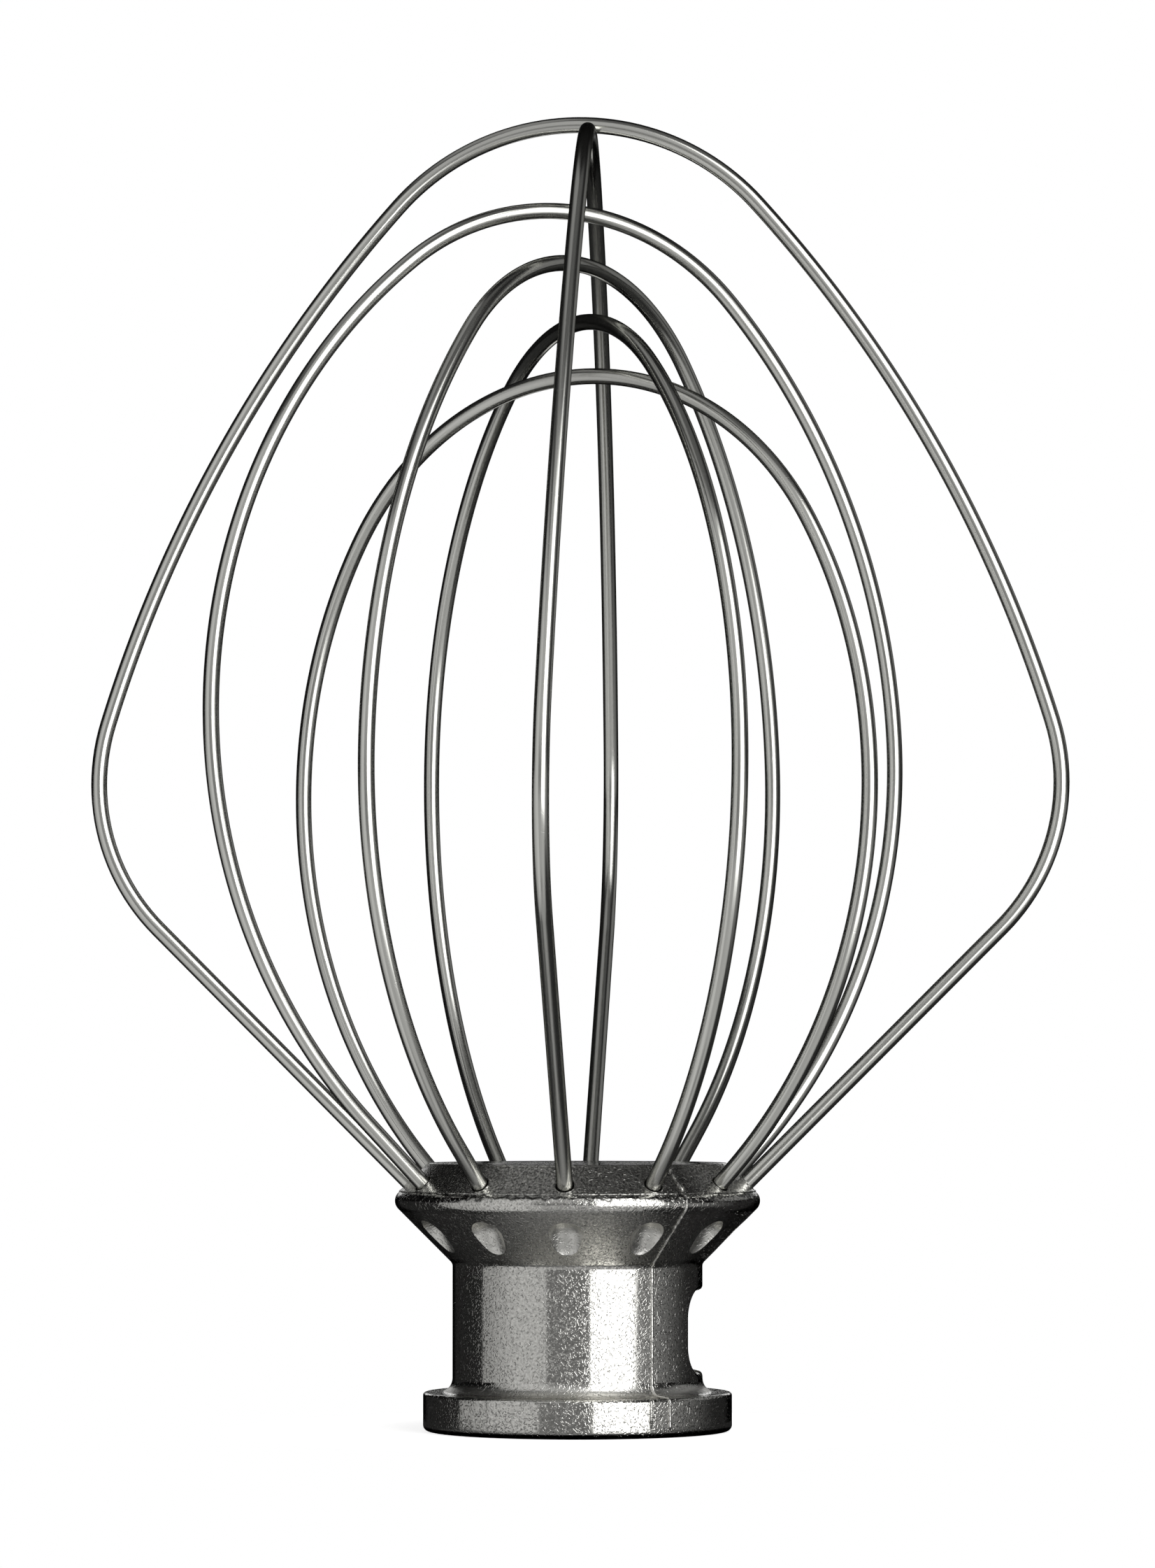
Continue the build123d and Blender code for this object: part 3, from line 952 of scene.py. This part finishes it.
def bounce_material():
    """Painted light off the floor before the hub, a glow which its flare mirrors, with a painted shadow that
    darkens it close to the flange.
    """
    material, tree, surface = new_material("floor_bounce")
    place_in = tree.nodes.new("ShaderNodeTexCoord").outputs["Object"]
    brightest = (0.0, -BOUNCE_FRONT_MM * MM, 0.0)
    reach = vector_node(tree, "LENGTH", vector_node(tree, "SUBTRACT", place_in, brightest))
    painted_shadow_end = (BOUNCE_PAINTED_SHADOW_MM + BOUNCE_PAINTED_SHADOW_EDGE_MM) * MM
    # Painted shadow: the glow is dark close to the flange
    clear = remap(tree, vector_node(tree, "LENGTH", place_in), BOUNCE_PAINTED_SHADOW_MM * MM, painted_shadow_end)
    strength = remap(tree, reach, 0.0, BOUNCE_REACH_MM * MM, *BOUNCE_RANGE)
    strength = math_node(tree, "MULTIPLY", strength, clear)
    glow = place(tree, "ShaderNodeEmission", {"Strength": strength}).outputs["Emission"]
    tree.links.new(glow, surface)
    return material


def light_world(scene):
    """White behind the whisk, and dim grey for the light that the world sheds."""
    world = bpy.data.worlds.new("white_backdrop")
    world.use_nodes = True
    tree = world.node_tree
    tree.nodes.clear()
    white = place(tree, "ShaderNodeBackground", {"Color": (1, 1, 1, 1), "Strength": 1.0})
    dim = place(tree, "ShaderNodeBackground", {"Color": (0.5, 0.5, 0.5, 1), "Strength": 1.0})
    mixed = place(
        tree, "ShaderNodeMixShader",
        {0: seen_by_lens_or_gloss(tree), 1: dim.outputs["Background"], 2: white.outputs["Background"]},
    )
    output = tree.nodes.new("ShaderNodeOutputWorld")
    tree.links.new(mixed.outputs["Shader"], output.inputs["Surface"])
    scene.world = world


def aim_camera(scene, settings):
    """Camera at the portrait's viewing angle."""
    data = bpy.data.cameras.new("portrait")
    data.lens = settings.lens
    camera = link_object("portrait", data)
    turn = settings.camera_azimuth
    camera.location = (
        settings.camera_distance * math.sin(turn),
        -settings.camera_distance * math.cos(turn),
        settings.camera_height,
    )
    camera.rotation_euler = (math.pi / 2 + settings.camera_pitch, 0, turn)
    scene.camera = camera


def dress(piece):
    """Ties a finished piece to the whisk's body."""
    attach(piece, BODY)


class WHISK_OT_draw_wires(bpy.types.Operator):
    """Draw the six wire loops over their solids"""

    bl_idname = "whisk.draw_wires"
    bl_label = "Draw Wires"

    def execute(self, context):
        settings = context.scene.whisk_wire
        finish = drawn_steel(settings, shared_group("hairlines", hairline_group))
        tree = drawn_wire_tree()
        for loop in LOOPS:
            path = chain_mesh(loop.node + "_path", [loop_centreline(loop, settings.step)])
            values = {"Diameter": settings.diameter, "Sides": settings.sides, "Finish": finish}
            wire = grown(loop.node.replace("wire", "loop"), path, tree, values)
            dress(wire)
            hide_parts(loop.node)
        return {"FINISHED"}


class WHISK_OT_burnish_hub(bpy.types.Operator):
    """Give the hub casting its tumbled finish"""

    bl_idname = "whisk.burnish_hub"
    bl_label = "Burnish Hub"

    def execute(self, context):
        finish = burnished_aluminium(
            context.scene.whisk_hub,
            shared_group("cast_skin", cast_skin_group),
            shared_group("hairlines", hairline_group),
        )
        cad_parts["hub"].data.materials[0] = finish
        return {"FINISHED"}


class WHISK_OT_leave_flash(bpy.types.Operator):
    """Leave the mould's flash lines on the hub and burrs round its wire holes"""

    bl_idname = "whisk.leave_flash"
    bl_label = "Leave Flash"

    def execute(self, context):
        settings = context.scene.whisk_seam
        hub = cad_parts["hub"]
        finish = hub.data.materials[0]
        outside = 1.5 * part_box("hub")[1].x
        lines = [
            [
                outside * on_sphere(seam.azimuth, 0) + Vector((0, 0, height * MM))
                for height in (seam.foot_mm, seam.head_mm)
            ]
            for seam in SEAMS
        ]
        ring = [
            outside * on_sphere(turn, 0) + Vector((0, 0, settings.rim_flash_height))
            for turn in range(0, 361, RIM_LINE_STEP)
        ]
        values = {
            "Casting": hub, "Bead": settings.bead, "Spacing": settings.spacing, "Seed": settings.seed,
            "Rim Height": RIM_HEIGHT_MM * MM, "Finish": finish,
        }
        tree = flash_line_tree()
        dress(grown("parting_flash", chain_mesh("parting_lines", lines), tree, values))
        values["Bead"] = settings.rim_bead
        dress(grown("rim_flash", chain_mesh("rim_line", [ring]), tree, values))
        mouths = [
            [MM * (MOUTH_RADIUS_MM * on_sphere(index * HOLE_PITCH, 0) + Vector((0, 0, MOUTH_HEIGHT_MM)))]
            for index in range(2 * len(LOOPS))
        ]
        values = {
            "Hole Radius": HOLE_RADIUS_MM * MM + settings.burr, "Burr": settings.burr,
            "Seed": settings.seed, "Finish": finish,
        }
        burrs = grown("hole_burrs", chain_mesh("hole_mouths", mouths), hole_burr_tree(), values)
        dress(burrs)
        return {"FINISHED"}


class WHISK_OT_set_stage(bpy.types.Operator):
    """Set the floor, the studio's cards, the white backdrop and the camera"""

    bl_idname = "whisk.set_stage"
    bl_label = "Set Stage"

    def execute(self, context):
        scene = context.scene
        settings = scene.whisk_stage
        scene.view_settings.view_transform = "Standard"
        pale = floor_material(settings.floor_radius)
        floor = disc("floor", settings.floor_radius, -FLOOR_DEPTH_MM * MM, pale)
        floor.visible_glossy = False
        # A glowing sheet seen only in reflections: painted bounce light with a painted shadow near the
        # flange
        bounce = disc("bounce", settings.bounce_radius, -BOUNCE_DEPTH_MM * MM, bounce_material())
        bounce.visible_camera = False
        bounce.visible_diffuse = False
        bounce.visible_shadow = False
        centre = Vector((0, 0, STUDIO_MIDDLE_MM * MM))
        for card in CARDS:
            hang_card(card, centre)
        light_world(scene)
        aim_camera(scene, settings)
        return {"FINISHED"}


class VIEW3D_PT_whisk(bpy.types.Panel):
    """Sizes, finishes and steps of the whisk"""

    bl_label = "Wire Whisk"
    bl_space_type = "VIEW_3D"
    bl_region_type = "UI"
    bl_category = "Whisk"

    def draw(self, context):
        for settings, operator in STEPS:
            group = getattr(context.scene, settings)
            for name in group.bl_rna.properties.keys():
                if name not in {"rna_type", "name"}:
                    self.layout.prop(group, name)
            self.layout.operator(operator)


GROUPS = {
    "whisk_wire": WireSettings,
    "whisk_hub": HubSettings,
    "whisk_seam": SeamSettings,
    "whisk_stage": StageSettings,
}
STEPS = (
    ("whisk_wire", "whisk.draw_wires"),
    ("whisk_hub", "whisk.burnish_hub"),
    ("whisk_seam", "whisk.leave_flash"),
    ("whisk_stage", "whisk.set_stage"),
)
CLASSES = (
    *GROUPS.values(),
    WHISK_OT_draw_wires, WHISK_OT_burnish_hub, WHISK_OT_leave_flash, WHISK_OT_set_stage,
    VIEW3D_PT_whisk,
)


def register():
    for item in CLASSES:
        bpy.utils.register_class(item)
    for name, group in GROUPS.items():
        setattr(bpy.types.Scene, name, PointerProperty(type=group))


def unregister():
    for name in GROUPS:
        delattr(bpy.types.Scene, name)
    for item in reversed(CLASSES):
        bpy.utils.unregister_class(item)


def main():
    """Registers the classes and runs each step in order."""
    register()
    bpy.ops.whisk.draw_wires()
    bpy.ops.whisk.burnish_hub()
    bpy.ops.whisk.leave_flash()
    bpy.ops.whisk.set_stage()


if __name__ == "__main__":
    main()
